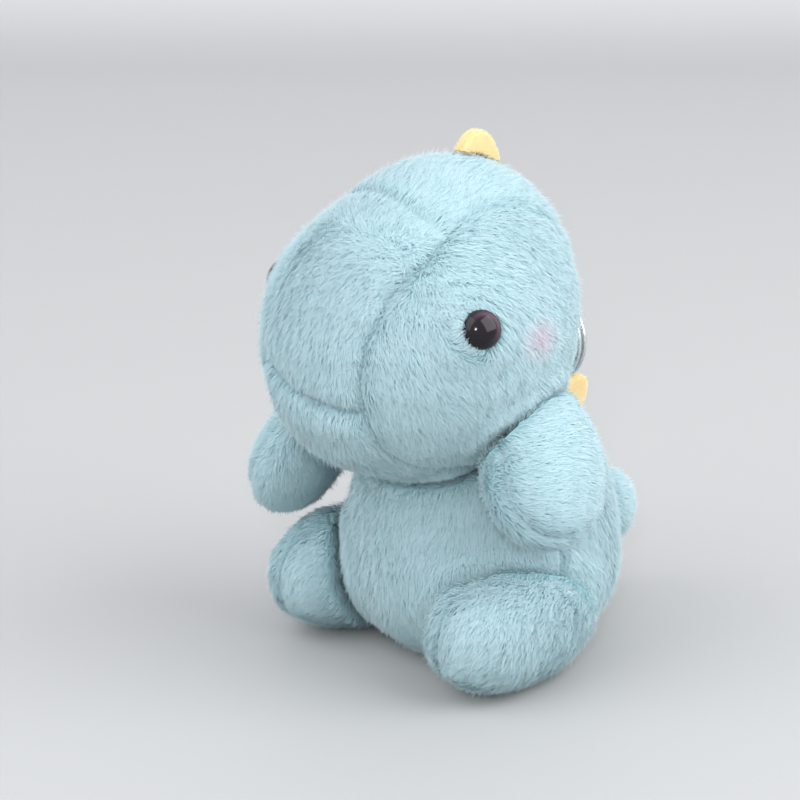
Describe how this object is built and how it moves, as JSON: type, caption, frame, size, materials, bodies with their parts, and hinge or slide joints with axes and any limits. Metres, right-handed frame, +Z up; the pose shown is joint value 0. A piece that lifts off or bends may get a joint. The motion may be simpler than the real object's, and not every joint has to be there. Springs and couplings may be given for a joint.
{
  "type": "plush keychain",
  "caption": "Small sitting plush dinosaur with a round head, felt spikes and a key ring on a ribbon tab at its nape.",
  "frame": {"origin": "middle of the flat seat that the toy sits on", "axes": "+Z up, -Y towards the toy's front, +X towards its left"},
  "size_m": [0.0966, 0.1034, 0.1168],
  "materials": {
    "plush": "short soft pile, light aqua",
    "felt": "pressed felt, pale yellow",
    "stuffing": "loose polyester fibre",
    "ribbon": "woven ribbon",
    "eye": "polished black",
    "washer": "moulded, unfinished",
    "steel": "nickel-plated steel wire"
  },
  "bodies": {
    "torso": {"belly_panel": "plush", "back_panel_left": "plush", "back_panel_right": "plush", "seat_panel": "plush", "body_stuffing": "stuffing", "nape_spike": "felt", "back_spike": "felt"},
    "head": {"crown_gusset": "plush", "muzzle_panel": "plush", "chin_panel": "plush", "cheek_left": "plush", "cheek_right": "plush", "head_stuffing": "stuffing", "eye_left": "eye", "eye_right": "eye", "eye_washer_left": "washer", "eye_washer_right": "washer", "crown_spike": "felt", "occiput_spike": "felt"},
    "tail": {"tail_left": "plush", "tail_right": "plush", "tail_stuffing": "stuffing"},
    "hang_tab": {"hang_tab": "ribbon"},
    "key_ring": {"key_ring": "steel"},
    "arm_left": {"arm_left_outer": "plush", "arm_left_inner": "plush", "arm_left_stuffing": "stuffing"},
    "leg_left": {"leg_left_outer": "plush", "leg_left_inner": "plush", "leg_left_stuffing": "stuffing"},
    "arm_right": {"arm_right_outer": "plush", "arm_right_inner": "plush", "arm_right_stuffing": "stuffing"},
    "leg_right": {"leg_right_outer": "plush", "leg_right_inner": "plush", "leg_right_stuffing": "stuffing"}
  },
  "joints": [
    {"name": "head_nod", "type": "hinge", "parent": "torso", "child": "head", "pos_m": [0, -0.018, 0.0784], "axis": [1, 0, 0], "range_deg": [0, 8], "stiffness_Nm_per_rad": 0.06},
    {"name": "arm_left_swing", "type": "hinge", "parent": "torso", "child": "arm_left", "pos_m": [0.025, -0.004, 0.053], "axis": [-1, 0, 0], "range_deg": [-8, 6], "stiffness_Nm_per_rad": 0.02},
    {"name": "arm_right_swing", "type": "hinge", "parent": "torso", "child": "arm_right", "pos_m": [-0.025, -0.004, 0.053], "axis": [-1, 0, 0], "range_deg": [-8, 6], "stiffness_Nm_per_rad": 0.02},
    {"name": "leg_left_splay", "type": "hinge", "parent": "torso", "child": "leg_left", "pos_m": [0.02, 0.002, 0.014], "axis": [0, 0, 1], "range_deg": [-3, 12], "stiffness_Nm_per_rad": 0.02},
    {"name": "leg_right_splay", "type": "hinge", "parent": "torso", "child": "leg_right", "pos_m": [-0.02, 0.002, 0.014], "axis": [0, 0, -1], "range_deg": [-3, 12], "stiffness_Nm_per_rad": 0.02},
    {"name": "tail_wag", "type": "hinge", "parent": "torso", "child": "tail", "pos_m": [0, 0.028, 0.0224], "axis": [0, 0, 1], "range_deg": [-12, 12], "stiffness_Nm_per_rad": 0.01},
    {"name": "tab_fold", "type": "hinge", "parent": "head", "child": "hang_tab", "pos_m": [0, 0.0183, 0.0798], "axis": [1, 0, 0], "range_deg": [0, 60], "stiffness_Nm_per_rad": 0.003},
    {"name": "ring_swing", "type": "hinge", "parent": "hang_tab", "child": "key_ring", "pos_m": [0, 0.0219, 0.0762], "axis": [1, 0, 0], "range_deg": [0, 110]}
  ]
}
